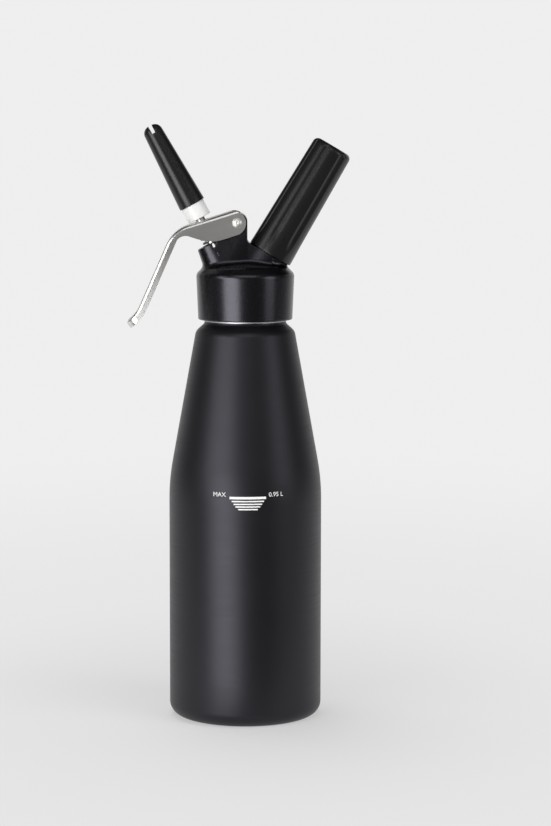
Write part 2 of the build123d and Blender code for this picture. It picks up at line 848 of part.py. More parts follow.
def make_gas_charger():
    """Steel gas charger, neck down, with its cap pierced by the needle."""
    shoulder = charger_seat + charger_neck_length
    top = charger_seat + charger_length
    spread = charger_radius - charger_neck_radius
    cap = charger_seat + charger_cap
    inner = charger_radius - charger_wall
    neck_inner = charger_neck_radius - charger_wall
    outside = turned(
        CHARGER,
        [
            (0, charger_seat),
            (charger_neck_radius, charger_seat),
            (charger_neck_radius, shoulder),
            (charger_radius, shoulder + spread),
            (charger_radius, top),
            (0, top),
        ],
        [
            0,
            charger_lip_round,
            charger_neck_round,
            charger_shoulder_round,
            charger_end_round * charger_radius,
            0,
        ],
    )
    inside = turned(
        CHARGER,
        [
            (0, cap),
            (neck_inner, cap),
            (neck_inner, shoulder + charger_wall),
            (inner, shoulder + spread + charger_wall),
            (inner, top - charger_wall),
            (0, top - charger_wall),
        ],
        [
            0,
            0,
            charger_neck_round,
            charger_shoulder_round - charger_wall,
            charger_end_round * inner,
            0,
        ],
    )
    return outside - inside - disc(CHARGER, pierced_radius, charger_seat - over, cap + over)


def make_charger_gasket():
    """Ring that the charger's neck presses on, round the needle."""
    return ring(CHARGER, pierced_radius, carrier_radius, carrier_top, charger_seat)


def make_pin_carrier():
    """Plug in the stub that holds the needle, with a nose and side ports for the check valve."""
    port_height = carrier_nose_end + (carrier_nose_length - carrier_seal_thickness) / 2
    carrier = disc(CHARGER, carrier_radius, carrier_seat, carrier_top)
    carrier += disc(CHARGER, carrier_nose_radius, carrier_nose_end, carrier_seat)
    carrier -= disc(CHARGER, piercing_pin_radius, carrier_top - carrier_pin_depth, carrier_top + over)
    carrier -= disc(CHARGER, carrier_gas_bore, port_height, carrier_top)
    port = Pos(0, 0, port_height) * Rot(90, 0, 0)
    return carrier - CHARGER * port * Cylinder(carrier_port_radius, 3 * carrier_nose_radius)


def make_piercing_pin():
    """Hollow needle with a point, pressed in the carrier."""
    foot = carrier_top - carrier_pin_depth
    tip = charger_seat + piercing_depth
    return turned(
        CHARGER,
        [
            (piercing_pin_bore, foot),
            (piercing_pin_radius, foot),
            (piercing_pin_radius, tip - piercing_pin_radius),
            (piercing_pin_bore, tip),
        ],
    )


def make_carrier_seal():
    """Flat ring under the carrier, round its nose."""
    return ring(CHARGER, carrier_nose_radius, carrier_radius, -carrier_sink, carrier_seat)


def make_check_valve():
    """Rubber sleeve that closes the ports in the carrier's nose."""
    low = carrier_nose_end + sleeve_margin
    high = -carrier_sink - sleeve_margin
    return ring(CHARGER, carrier_nose_radius, carrier_nose_radius + sleeve_wall, low, high)


pieces = {
    "bottle": make_bottle(),
    "head_gasket": make_head_gasket(),
    "head": make_head(),
    "valve_stem": make_valve_stem(),
    "valve_seal": make_valve_seal(),
    "stem_o_ring": make_stem_o_ring(),
    "return_spring": make_return_spring(),
    "spring_liner": make_spring_liner(),
    "thrust_washer": make_thrust_washer(),
    "tip_adaptor": make_tip_adaptor(),
    "adaptor_seal": make_adaptor_seal(),
    "nozzle_seal": make_nozzle_seal(),
    "nozzle": make_nozzle(),
    "lever": make_lever(),
    "lever_pin": make_lever_pin(),
    "charger_holder": make_charger_holder(),
    "gas_charger": make_gas_charger(),
    "charger_gasket": make_charger_gasket(),
    "pin_carrier": make_pin_carrier(),
    "piercing_pin": make_piercing_pin(),
    "carrier_seal": make_carrier_seal(),
    "check_valve": make_check_valve(),
}

os.makedirs("parts", exist_ok=True)
for name, solid in pieces.items():
    export_step(solid, f"parts/{name}.step")
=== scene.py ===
import json
from math import acos, atan2, ceil, cos, hypot, pi, radians, sin, tan

import bpy
import numpy as np
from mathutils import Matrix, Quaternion, Vector


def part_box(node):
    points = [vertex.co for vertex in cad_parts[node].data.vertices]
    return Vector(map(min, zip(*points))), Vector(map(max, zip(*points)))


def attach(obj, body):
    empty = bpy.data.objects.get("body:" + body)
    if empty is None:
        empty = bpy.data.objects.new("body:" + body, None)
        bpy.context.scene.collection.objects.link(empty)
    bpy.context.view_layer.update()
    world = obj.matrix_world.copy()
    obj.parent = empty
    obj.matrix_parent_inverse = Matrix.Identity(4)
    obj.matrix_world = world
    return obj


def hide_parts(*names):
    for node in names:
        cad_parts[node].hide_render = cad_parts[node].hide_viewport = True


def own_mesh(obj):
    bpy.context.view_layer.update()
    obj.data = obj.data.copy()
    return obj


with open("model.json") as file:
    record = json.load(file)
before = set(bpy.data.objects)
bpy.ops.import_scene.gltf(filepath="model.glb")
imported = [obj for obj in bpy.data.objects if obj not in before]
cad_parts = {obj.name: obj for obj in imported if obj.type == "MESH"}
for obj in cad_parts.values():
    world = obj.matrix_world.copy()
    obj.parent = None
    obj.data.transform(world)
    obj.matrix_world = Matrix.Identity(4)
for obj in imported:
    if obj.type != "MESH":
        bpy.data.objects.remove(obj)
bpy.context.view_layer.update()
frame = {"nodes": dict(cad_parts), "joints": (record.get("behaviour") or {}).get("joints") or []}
nodes = frame["nodes"]
joints = {joint["name"]: joint for joint in frame["joints"]}

# Lengths below are millimetres, as in the CAD source. The meshes are in metres.
MM = 0.001


def joint_place(name):
    """A joint's point in millimetres and its axis."""
    joint = joints[name]
    return np.array(joint["pos_m"]) / MM, np.array(joint["axis"], float)


def node_box(name):
    """A node's lowest and highest corners in millimetres."""
    low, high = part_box(name)
    return np.array(low) / MM, np.array(high) / MM


valve_top, valve_axis = joint_place("nozzle_turn")
charger_base, charger_axis = joint_place("charger_holder_turn")
pivot, _ = joint_place("lever_squeeze")
front = np.array([0.0, -1.0, 0.0])
upward = np.array([0.0, 0.0, 1.0])
origin = np.zeros(3)
bottle_radius = node_box("bottle")[1][0]
collar_bottom = node_box("head")[0][2]
neck_rim, ceiling = (corner[2] for corner in node_box("head_gasket"))

# Meshes: a rounded corner turns by ARC_STEP a step at most, and its chords keep within ARC_SAG of the arc

ARC_STEP = radians(12)
ARC_SAG = 0.01
ARC_LEAST_RADIUS = 0.1
ARC_LEAST_STEPS = 3
NEARLY_ZERO = 1e-6


def add_object(name, points, faces, corner_normals=None, point_normals=None, sharp_angle=None):
    """A mesh object from points in millimetres, shaded smooth."""
    mesh = bpy.data.meshes.new(name)
    mesh.from_pydata((np.asarray(points) * MM).tolist(), [], faces)
    mesh.polygons.foreach_set("use_smooth", np.ones(len(mesh.polygons), bool))
    if sharp_angle is not None:
        mesh.set_sharp_from_angle(angle=radians(sharp_angle))
    if corner_normals is not None:
        mesh.normals_split_custom_set(corner_normals)
    if point_normals is not None:
        mesh.normals_split_custom_set_from_vertices(point_normals.tolist())
    obj = bpy.data.objects.new(name, mesh)
    bpy.context.scene.collection.objects.link(obj)
    return obj


def rounded_outline(corners, rounds):
    """Points of a closed outline with rounded corners, and the normals at both ends of every run."""
    places = [np.array(corner, float) for corner in corners]
    count = len(places)
    points = []
    normals_in = []
    normals_out = []
    for index, place in enumerate(places):
        before = place - places[index - 1]
        after = places[(index + 1) % count] - place
        start = atan2(before[1], before[0])
        turn = (atan2(after[1], after[0]) - start + pi) % (2 * pi) - pi
        first = np.array([cos(start - pi / 2), sin(start - pi / 2)])
        last = np.array([cos(start + turn - pi / 2), sin(start + turn - pi / 2)])
        radius = rounds[index]
        if not radius:
            points.append(place)
            normals_in.append(first)
            normals_out.append(last)
            continue
        side = 1.0 if turn > 0 else -1.0
        begin = place - before / hypot(*before) * radius * tan(abs(turn) / 2)
        centre = begin - first * radius * side
        arc_step = min(ARC_STEP, 2 * acos(1 - ARC_SAG / max(radius, ARC_LEAST_RADIUS)))
        steps = max(ARC_LEAST_STEPS, ceil(abs(turn) / arc_step))
        for step in range(steps + 1):
            angle = start - pi / 2 + turn * step / steps
            normal = np.array([cos(angle), sin(angle)])
            points.append(centre + normal * radius * side)
            normals_in.append(normal)
            normals_out.append(normal)
    return points, normals_in, normals_out


def spokes_about(axis, segments):
    """Unit vectors square to an axis, all the way round from the front."""
    angles = np.arange(segments) * 2 * pi / segments
    side = np.cross(axis, front)
    return np.cos(angles)[:, None] * front + np.sin(angles)[:, None] * side


def ring_rows(base, axis, outline, spokes, reach=None):
    """Rows of point numbers, and the points, of an outline swung about an axis.

    A row on the axis is a single point. With reach(radius, height), a row's radius varies round it.
    """
    segments = len(spokes)
    rows = []
    places = []
    for radius, height in outline:
        middle = base + axis * height
        if radius < NEARLY_ZERO:
            rows.append([len(places)] * segments)
            places.append(middle)
            continue
        spread = reach(radius, height)[:, None] if reach else radius
        rows.append(list(range(len(places), len(places) + segments)))
        places.extend(middle + spokes * spread)
    return rows, places


def turned(name, base, axis, corners, rounds, segments=128):
    """An object turned about an axis from (radius, height) corners given anticlockwise."""
    points, normals_in, normals_out = rounded_outline(corners, rounds)
    spokes = spokes_about(axis, segments)
    rows, places = ring_rows(base, axis, points, spokes)
    faces = []
    corner_normals = []
    for one in range(len(points)):
        two = (one + 1) % len(points)
        if points[one][0] < NEARLY_ZERO and points[two][0] < NEARLY_ZERO:
            continue
        low = spokes * normals_out[one][0] + axis * normals_out[one][1]
        high = spokes * normals_in[two][0] + axis * normals_in[two][1]
        for step in range(segments):
            after = (step + 1) % segments
            ring = [
                (rows[one][step], low[step]),
                (rows[one][after], low[after]),
                (rows[two][after], high[after]),
                (rows[two][step], high[step]),
            ]
            if ring[0][0] == ring[1][0]:
                ring.pop(1)
            elif ring[2][0] == ring[3][0]:
                ring.pop(2)
            faces.append([corner for corner, _ in ring])
            corner_normals.extend(normal.tolist() for _, normal in ring)
    return add_object(name, places, faces, corner_normals)


def tube(name, centres, across, along, sections, sharp_angle):
    """A swept object with closed ends, from (across, along) offsets of each section about its centre."""
    sides = len(sections[0])
    points = []
    for index, centre in enumerate(centres):
        for offset, lift in sections[index]:
            points.append(centre + across[index] * offset + along * lift)
    faces = []
    for index in range(len(centres) - 1):
        for step in range(sides):
            after = (step + 1) % sides
            faces.append([
                index * sides + step,
                index * sides + after,
                (index + 1) * sides + after,
                (index + 1) * sides + step,
            ])
    last = (len(centres) - 1) * sides
    faces.append(list(range(sides))[::-1])
    faces.append(list(range(last, last + sides)))
    return add_object(name, points, faces, sharp_angle=sharp_angle)


def screw_thread(name, base, axis, root, height, pitch, low, high):
    """A right-hand thread ridge on a shank between two heights, fading out at both ends."""
    steps_per_turn = 72
    turns = (high - low) / pitch
    steps = int(turns * steps_per_turn)
    side = np.cross(axis, front)
    half_root = 0.35 * pitch
    half_crest = 0.07 * pitch
    sunk = 0.3
    fade = steps_per_turn / 6
    centres = []
    across = []
    sections = []
    for step in range(steps + 1):
        angle = 2 * pi * step / steps_per_turn
        rise = low + pitch * step / steps_per_turn
        grown = min(1.0, step / fade, (steps - step) / fade)
        crest = root - sunk / 2 + (height + sunk / 2) * grown
        centres.append(base + axis * rise)
        across.append(front * cos(angle) + side * sin(angle))
        sections.append([
            (root - sunk, -half_root),
            (crest, -half_crest),
            (crest, half_crest),
            (root - sunk, half_root),
        ])
    return tube(name, centres, across, axis, sections, sharp_angle=30)


# Smooth castings, drawn as signed distance fields


def smooth_min(one, other, blend):
    """The smaller of two fields, with a fillet where they meet."""
    share = np.clip(0.5 + 0.5 * (other - one) / blend, 0, 1)
    return other + (one - other) * share - blend * share * (1 - share)


def smooth_max(one, other, blend):
    """The larger of two fields, with a rounded edge where they meet."""
    return -smooth_min(-one, -other, blend)


def right_of(across, rise, start, stop):
    """Signed distance to the right of the line from start to stop."""
    run = np.subtract(stop, start) / hypot(*np.subtract(stop, start))
    return (across - start[0]) * run[1] - (rise - start[1]) * run[0]


def leaning(x, y, z, base, axis):
    """Height along a leaning axis, distance from it, and offset across it in the plane Y = 0."""
    height = (x - base[0]) * axis[0] + (z - base[2]) * axis[2]
    across = (x - base[0]) * axis[2] - (z - base[2]) * axis[0]
    return height, np.hypot(across, y), across


def crossed_cells(value):
    """Grid cells that a field's zero surface crosses, and the middles of the crossings in them."""
    size = np.array(value.shape) - 1
    inside = value < 0
    corners = [(i, j, k) for i in (0, 1) for j in (0, 1) for k in (0, 1)]
    count = np.zeros(size, np.int8)
    for i, j, k in corners:
        count += inside[i:i + size[0], j:j + size[1], k:k + size[2]]
    cells = np.argwhere((count > 0) & (count < len(corners)))
    total = np.zeros((len(cells), 3))
    hits = np.zeros(len(cells))
    for corner in corners:
        for axis in range(3):
            if corner[axis]:
                continue
            other = list(corner)
            other[axis] = 1
            one = value[tuple((cells + corner).T)]
            two = value[tuple((cells + other).T)]
            cross = (one < 0) != (two < 0)
            place = np.tile(np.array(corner, float), (len(cells), 1))
            place[:, axis] += np.where(cross, one / np.where(cross, one - two, 1), 0)
            total[cross] += place[cross]
            hits += cross
    return cells, cells + total / hits[:, None]


def crossed_faces(value, cells):
    """A face between the four cells round each grid edge that crosses the zero surface, facing outwards."""
    size = np.array(value.shape) - 1
    inside = value < 0
    index = np.full(size, -1, np.int64)
    index[tuple(cells.T)] = np.arange(len(cells))
    faces = []
    for axis in range(3):
        u, v = (axis + 1) % 3, (axis + 2) % 3
        first = np.take(inside, range(size[axis]), axis)
        second = np.take(inside, range(1, size[axis] + 1), axis)
        found = np.argwhere(first != second)
        within = (found[:, u] > 0) & (found[:, u] < size[u])
        within &= (found[:, v] > 0) & (found[:, v] < size[v])
        found = found[within]
        outward = first[tuple(found.T)]
        ring = []
        for shift_u, shift_v in ((-1, -1), (0, -1), (0, 0), (-1, 0)):
            cell = found.copy()
            cell[:, u] += shift_u
            cell[:, v] += shift_v
            ring.append(index[tuple(cell.T)])
        quad = np.stack(ring, 1)
        quad[~outward] = quad[~outward][:, ::-1]
        faces.append(quad)
    return np.concatenate(faces).tolist()


def surface_net(field, low, high, step):
    """Points, faces and normals of a field's zero surface, found on a grid and then settled on it."""
    settling_rounds = 3
    least_steepness = 0.25
    least_slope = 1e-9
    axes = [np.arange(first, last + step, step) for first, last in zip(low, high)]
    value = field(axes[0][:, None, None], axes[1][None, :, None], axes[2][None, None, :])
    cells, middles = crossed_cells(value)
    points = np.array(low) + step * middles
    for _ in range(settling_rounds):
        slope = gradient(field, points)
        steepness = np.maximum((slope * slope).sum(1), least_steepness)
        move = (field(*points.T) / steepness)[:, None] * slope
        points = points - np.clip(move, -step / 2, step / 2)
    slope = gradient(field, points)
    normals = slope / np.maximum(np.linalg.norm(slope, axis=1), least_slope)[:, None]
    return points, crossed_faces(value, cells), normals


def gradient(field, points):
    """A field's slope at points, by central differences."""
    reach = 0.03
    columns = []
    for axis in range(3):
        shift = np.zeros(3)
        shift[axis] = reach
        columns.append((field(*(points + shift).T) - field(*(points - shift).T)) / (2 * reach))
    return np.stack(columns, 1)


# Head casting

collar_bore = 26.25
collar_low_radius = 29.45
collar_radius = 30.65
collar_top = 4.5
collar_edge = 0.8
shoulder_blend = 1.4
crown_radius = 25.7
crown_rise = 4.8
crown_blend = 1.2
dome_rise = 4.8
boss_radius = 10.5
boss_lip = 0.6
boss_edge = 0.6
boss_flare = 9.5
boss_power = 2.5
round_power = 2.0
boss_root = 6.0
boss_blend = 0.15
spring_pocket_radius = 7.0
spring_floor = -6.0
seat_depth = 18.0
seat_radius = 8.5
guide_bore = 4.06
guide_overlap = 1.0
bore_edge = 0.6
pin_bore = 1.96
drain_half_width = 0.8
drain_half_height = 1.35
drain_middle = -1.2
drain_round = 0.75
charger_boss_radius = 12.6
charger_boss_edge = 0.4
charger_boss_root = 19.5
charger_boss_blend = 3.0
holder_gap = 0.4
bracket_inset = 0.02
bracket_half = 11.6
bracket_spread = 0.16
bracket_edge = 0.6
bracket_flank_blend = 1.0
bracket_ear_blend = 0.8
bracket_foot_blend = 1.4
bracket_round = 5.82
ear_share = 0.92
bracket_front = pivot[0] + bracket_round + 0.48
bracket_ear = pivot[0] - bracket_round
bracket_back = pivot[0] - 13.1
bracket_rear_top = pivot[2] - 9.3
bracket_neck_top = pivot[2] - 3.3
charger_lean = atan2(charger_axis[0], charger_axis[2])
stub_root = 10.0
stub_bore = 4.8
stub_bore_floor = -2.4
stub_foot = -1.0
stub_length = 14.0
stub_rounds = [0, 0, 0.8, 0.4]
stub_thread_height = 0.8
stub_thread_pitch = 2.0
stub_thread_low = 2.8
stub_thread_high = 13.0
carrier_bore = 4.0
carrier_floor = -8.2
gas_hole = 1.5
casting_fillet = 2.6
casting_edge = 0.5
grid_step = 0.55
grid_margin = 1.5


def charger_face(across):
    """Height of the charger boss's face at a distance from the bottle's axis."""
    return charger_base[2] - holder_gap / cos(charger_lean) + (charger_base[0] - across) * tan(charger_lean)


def collar_field(x, y, z):
    """Collar with its shoulder and the dome above it."""
    radius = np.hypot(x, y)
    shoulder = ceiling + collar_top
    crown = shoulder + crown_rise
    side = right_of(radius, z, (collar_low_radius, collar_bottom), (collar_radius, shoulder))
    slope = right_of(radius, z, (collar_radius, shoulder), (crown_radius, crown))
    dome = right_of(radius, z, (crown_radius, crown), (0, crown + dome_rise))
    field = smooth_max(side, slope, shoulder_blend)
    field = smooth_max(field, dome, crown_blend)
    return smooth_max(field, collar_bottom - z, collar_edge)


def boss_reach(height):
    """Half width of the boss and of the bracket's flush sides at a height along the valve."""
    return boss_radius + tan(radians(boss_flare)) * (boss_lip - height)


def boss_field(x, y, z):
    """Flaring boss that carries the valve, a little squarer than round on its outer side."""
    height, _, across = leaning(x, y, z, valve_top, valve_axis)
    power = np.where(across < 0, boss_power, round_power)
    radius = (np.abs(across) ** power + np.abs(y) ** power) ** (1 / power)
    flank = (radius - boss_reach(height)) * cos(radians(boss_flare))
    field = smooth_max(flank, height - boss_lip, boss_edge)
    return np.maximum(field, -height - seat_depth - boss_root)


def charger_boss_field(x, y, z):
    """Round boss under the charger holder."""
    height, radius, _ = leaning(x, y, z, charger_base, charger_axis)
    field = smooth_max(radius - charger_boss_radius, height + holder_gap, charger_boss_edge)
    return np.maximum(field, -height - charger_boss_root)


def bracket_field(x, y, z):
    """Upright plate with an ear for the lever's pin and a foot towards the charger boss."""
    rear_line = right_of(x, z, (bracket_ear, bracket_neck_top), (bracket_back, bracket_rear_top))
    rear = smooth_max(np.maximum(bracket_back - x, x - pivot[0]), rear_line, bracket_edge)
    ear_round = ear_share * bracket_round
    ear_middle = (bracket_front + bracket_ear) / 2
    ear_x = np.abs(x - ear_middle) - (bracket_front - ear_middle - ear_round)
    ear_z = z - (pivot[2] + bracket_round - ear_round)
    ear = np.hypot(np.maximum(ear_x, 0), np.maximum(ear_z, 0)) + np.minimum(np.maximum(ear_x, ear_z), 0)
    foot_start = (bracket_front, charger_face(bracket_front))
    foot_stop = (charger_base[0], charger_face(charger_base[0]))
    foot = np.maximum(bracket_ear - x, x - charger_base[0])
    foot = np.maximum(foot, -right_of(x, z, foot_start, foot_stop))
    plate = smooth_min(rear, ear - ear_round, bracket_ear_blend)
    plate = smooth_min(plate, foot, bracket_foot_blend)
    height, _, across = leaning(x, y, z, valve_top, valve_axis)
    widest = bracket_half + bracket_spread * np.maximum(bracket_front - x, 0)
    half = smooth_min(boss_reach(height), widest, bracket_flank_blend) - bracket_inset
    field = smooth_max(plate, (np.abs(y) - half) * cos(radians(boss_flare)), bracket_edge)
    return np.maximum(np.maximum(field, -across), ceiling - z)


def head_cuts(x, y, z):
    """The head's hollows: collar, spring pocket, guide, seat, drain, pin, stub, carrier and gas hole."""
    radius = np.hypot(x, y)
    height, reach, across = leaning(x, y, z, valve_top, valve_axis)
    rise, spread, _ = leaning(x, y, z, charger_base, charger_axis)
    drain_x = np.abs(across) - (drain_half_width - drain_round)
    drain_h = np.abs(height - drain_middle) - (drain_half_height - drain_round)
    drain = np.hypot(np.maximum(drain_x, 0), np.maximum(drain_h, 0)) - drain_round
    return [
        smooth_max(radius - collar_bore, z - ceiling, bore_edge),
        np.maximum(reach - spring_pocket_radius, spring_floor - height),
        np.maximum(np.maximum(reach - guide_bore, -height - seat_depth - guide_overlap), height),
        smooth_max(reach - seat_radius, height + seat_depth, bore_edge),
        drain,
        np.hypot(x - pivot[0], z - pivot[2]) - pin_bore,
        np.maximum(spread - stub_bore, stub_bore_floor - rise),
        np.maximum(spread - carrier_bore, carrier_floor - rise),
        np.maximum(spread - gas_hole, rise),
    ]


def head_field(x, y, z):
    """The whole casting, without the threaded stub."""
    field = smooth_min(boss_field(x, y, z), bracket_field(x, y, z), boss_blend)
    field = smooth_min(field, charger_boss_field(x, y, z), charger_boss_blend)
    field = smooth_min(field, collar_field(x, y, z), casting_fillet)
    for cut in head_cuts(x, y, z):
        field = smooth_max(field, -cut, casting_edge)
    return field


def make_head():
    """The casting with its threaded stub, in place of the CAD node."""
    low = np.array([-collar_radius, -collar_radius, collar_bottom]) - grid_margin
    high = np.array([collar_radius, collar_radius, pivot[2] + bracket_round]) + grid_margin
    points, faces, normals = surface_net(head_field, low, high, grid_step)
    head = add_object("head_casting", points, faces, point_normals=normals)
    stub_corners = [
        (stub_bore, stub_foot),
        (stub_root, stub_foot),
        (stub_root, stub_length),
        (stub_bore, stub_length),
    ]
    stub = turned("charger_stub", charger_base, charger_axis, stub_corners, stub_rounds)
    thread = screw_thread(
        "charger_stub_thread", charger_base, charger_axis, stub_root, stub_thread_height,
        stub_thread_pitch, stub_thread_low, stub_thread_high,
    )
    for piece in (head, stub, thread):
        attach(piece, "head")
        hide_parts("head")
        piece.data.materials.append(head_coat())


# Bottle: neck_thread_low and neck_thread_high are pitches below the rim

bottle_wall = 1.5
base_thickness = 3.0
base_round = 8.4
cylinder_height = 149.8
cylinder_round = 134.0
shoulder_height = 243.2
shoulder_radius = 30.95
shoulder_slope = 48.0
shoulder_round = 6.0
neck_radius = 25.5
neck_foot_round = 2.5
neck_edge = 0.2
neck_root = 25.05
neck_bore = 23.3
rim_round = 0.4
neck_thread_height = 0.9
neck_thread_pitch = 4.0
neck_thread_low = 3.6
neck_thread_high = 0.55
bare_ring = 1.0
bottle_segments = 192


def bottle_side(wall, neck):
    """Corners and rounds of the bottle's side from the base's edge to the neck's foot."""
    cone_lean = atan2(bottle_radius - shoulder_radius, shoulder_height - cylinder_height)
    slope_lean = radians(shoulder_slope)
    cone_shift = wall / cos(cone_lean)
    slope_shift = wall / cos(slope_lean)
    drop = (slope_shift - cone_shift) / (tan(slope_lean) - tan(cone_lean))
    corners = [
        (bottle_radius - wall, cylinder_height - wall * tan(cone_lean / 2)),
        (shoulder_radius - cone_shift + drop * tan(cone_lean), shoulder_height - drop),
        (neck, shoulder_height + (shoulder_radius - slope_shift - neck) / tan(slope_lean)),
    ]
    return corners, [cylinder_round - wall, shoulder_round - wall, neck_foot_round + wall]


def make_bottle():
    """The bottle turned in one piece, black outside, with a bare neck and inside."""
    outside, outside_rounds = bottle_side(0, neck_radius)
    inside, inside_rounds = bottle_side(bottle_wall, neck_bore)
    corners = [
        (0, 0),
        (bottle_radius, 0),
        *outside,
        (neck_radius, collar_bottom - bare_ring),
        (neck_radius, collar_bottom),
        (neck_root, collar_bottom),
        (neck_root, neck_rim),
        (neck_bore, neck_rim),
        *reversed(inside),
        (bottle_radius - bottle_wall, base_thickness),
        (0, base_thickness),
    ]
    rounds = [
        0, base_round, *outside_rounds, 0, neck_edge, 0, rim_round, rim_round,
        *reversed(inside_rounds), base_round - bottle_wall, 0,
    ]
    bottle = turned("bottle_shell", origin, upward, corners, rounds, segments=bottle_segments)
    thread = screw_thread(
        "bottle_thread", origin, upward, neck_root, neck_thread_height, neck_thread_pitch,
        neck_rim - neck_thread_low * neck_thread_pitch, neck_rim - neck_thread_high * neck_thread_pitch,
    )
    bottle.data.materials.append(bottle_coat())
    bottle.data.materials.append(bare_aluminium())
    thread.data.materials.append(bare_aluminium())
    bare_above = (collar_bottom - bare_ring) * MM
    for face in bottle.data.polygons:
        outward = face.normal.dot(Vector((face.center.x, face.center.y, 0))) > 0
        coated = (outward or face.center.z < NEARLY_ZERO) and face.center.z < bare_above
        face.material_index = 0 if coated else 1
    for piece in (bottle, thread):
        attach(piece, "bottle")
        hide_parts("bottle")


# Fill mark on the bottle's front: each line's height, length and thickness; each word's name, text and place

mark_middle = 1.6
mark_lines = [
    (144.2, 22.6, 1.5),
    (142.1, 19.9, 0.8),
    (140.35, 17.6, 0.8),
    (138.75, 15.3, 0.8),
    (137.15, 12.1, 0.8),
]
mark_words = [("fill_word", "MAX", -16.2), ("fill_amount", "0.95 L", 19.4)]
word_rise = 144.9
word_tall = 2.7
font_cap_share = 0.7
print_thickness = 0.04
print_sunk = 0.05


def wrapped(flat_x, rise, lift):
    """A point on the bottle's front, from its distance along the surface."""
    angle = flat_x / bottle_radius
    radius = bottle_radius + lift
    return (radius * sin(angle), -radius * cos(angle), rise)


def printed_line(name, rise, length, thick):
    """A thin printed bar that follows the bottle's surface."""
    steps = 24
    section = [
        (-thick / 2, -print_sunk),
        (-thick / 2, print_thickness),
        (thick / 2, print_thickness),
        (thick / 2, -print_sunk),
    ]
    sides = len(section)
    points = []
    for step in range(steps + 1):
        along = mark_middle + length * (step / steps - 0.5)
        points.extend(wrapped(along, rise + height, lift) for height, lift in section)
    last = sides * steps
    faces = [list(range(sides)), list(range(last, last + sides))[::-1]]
    for row in range(0, last, sides):
        for side in range(sides):
            after = (side + 1) % sides
            faces.append([row + side, row + sides + side, row + sides + after, row + after])
    return add_object(name, points, faces, sharp_angle=40)


def printed_word(name, body, middle, rise, tall):
    """Plain capitals or figures that follow the bottle's surface."""
    curve = bpy.data.curves.new(name, "FONT")
    curve.body = body
    curve.align_x = "CENTER"
    curve.size = tall / font_cap_share
    curve.extrude = (print_thickness + print_sunk) / 2
    curve.resolution_u = 4
    flat = bpy.data.objects.new(name + "_flat", curve)
    bpy.context.scene.collection.objects.link(flat)
    mesh = bpy.data.meshes.new_from_object(flat.evaluated_get(bpy.context.evaluated_depsgraph_get()))
    bpy.data.objects.remove(flat)
    points = []
    for corner in mesh.vertices:
        lift = print_thickness if corner.co.z > 0 else -print_sunk
        points.append(wrapped(middle + corner.co.x, rise + corner.co.y, lift))
    faces = [list(face.vertices) for face in mesh.polygons]
    bpy.data.meshes.remove(mesh)
    return add_object(name, points, faces, sharp_angle=40)


def make_fill_mark():
    """Five lines that get shorter, with plain lettering at both sides."""
    pieces = [
        printed_line(f"fill_line_{index + 1}", rise, length, thick)
        for index, (rise, length, thick) in enumerate(mark_lines)
    ]
    for name, body, middle in mark_words:
        pieces.append(printed_word(name, body, middle, word_rise, word_tall))
    for piece in pieces:
        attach(piece, "bottle")
        piece.data.materials.append(white_print())


# Return spring

spring_radius = 5.35
spring_wire = 1.3
spring_low = -5.9
spring_high = 11.4
spring_turns = 6
wire_sides = 12


def make_spring():
    """Round wire wound between the pocket's floor and the washer."""
    steps_per_turn = 48
    steps = spring_turns * steps_per_turn
    side = np.cross(valve_axis, front)
    half = spring_wire / 2
    ring_angles = [2 * pi * part / wire_sides for part in range(wire_sides)]
    ring = [(half * cos(angle), half * sin(angle)) for angle in ring_angles]
    centres = []
    across = []
    sections = []
    for step in range(steps + 1):
        angle = 2 * pi * step / steps_per_turn
        rise = spring_low + half + (spring_high - spring_low - spring_wire) * step / steps
        centres.append(valve_top + valve_axis * rise)
        across.append(front * cos(angle) + side * sin(angle))
        sections.append([(spring_radius + out, lift) for out, lift in ring])
    spring = tube("return_spring_wire", centres, across, valve_axis, sections, sharp_angle=60)
    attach(spring, "head")
    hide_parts("return_spring")
    spring.data.materials.append(spring_steel())
    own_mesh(spring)


# Charger holder

holder_length = 77.5
holder_radius = 14.35
holder_top_radius = 12.9
holder_thread_bore = 11.1
holder_bore = 9.25
holder_floor = 74.25
holder_step = 14.3
holder_rounds = [0.3, 0.6, 3.5, 0, 0, 0.8, 0.2, 0.2]
holder_row = 1.4
holder_row_slack = 0.01
holder_row_least = 12
flute_count = 7
flute_segments = 40
flute_first = radians(-17.0)
flute_radius = 4.5
flute_depth = 0.75
flute_start = 16.0
flute_runout = 56.0
flute_edge = 0.4
flute_foot = 1.0
flute_wall = 0.5
clear_of_flute = 1.0


def flute_reach(radius, height, angle):
    """Distance from the holder's axis to its fluted surface."""
    spacing = 2 * pi / flute_count
    turn = (angle - flute_first + spacing / 2) % spacing - spacing / 2
    flank = holder_radius - (holder_radius - holder_top_radius) * height / holder_length
    lifted = np.maximum(flute_start - height, 0) ** 2 / (2 * flute_runout)
    middle = flank + flute_radius - flute_depth + lifted
    inner = np.maximum(flute_radius ** 2 - (middle * np.sin(turn)) ** 2, 0)
    cut = middle * np.cos(turn) - np.sqrt(inner)
    cut = np.where(inner > 0, cut, radius + clear_of_flute)
    return smooth_min(np.full_like(cut, radius), cut, flute_edge)


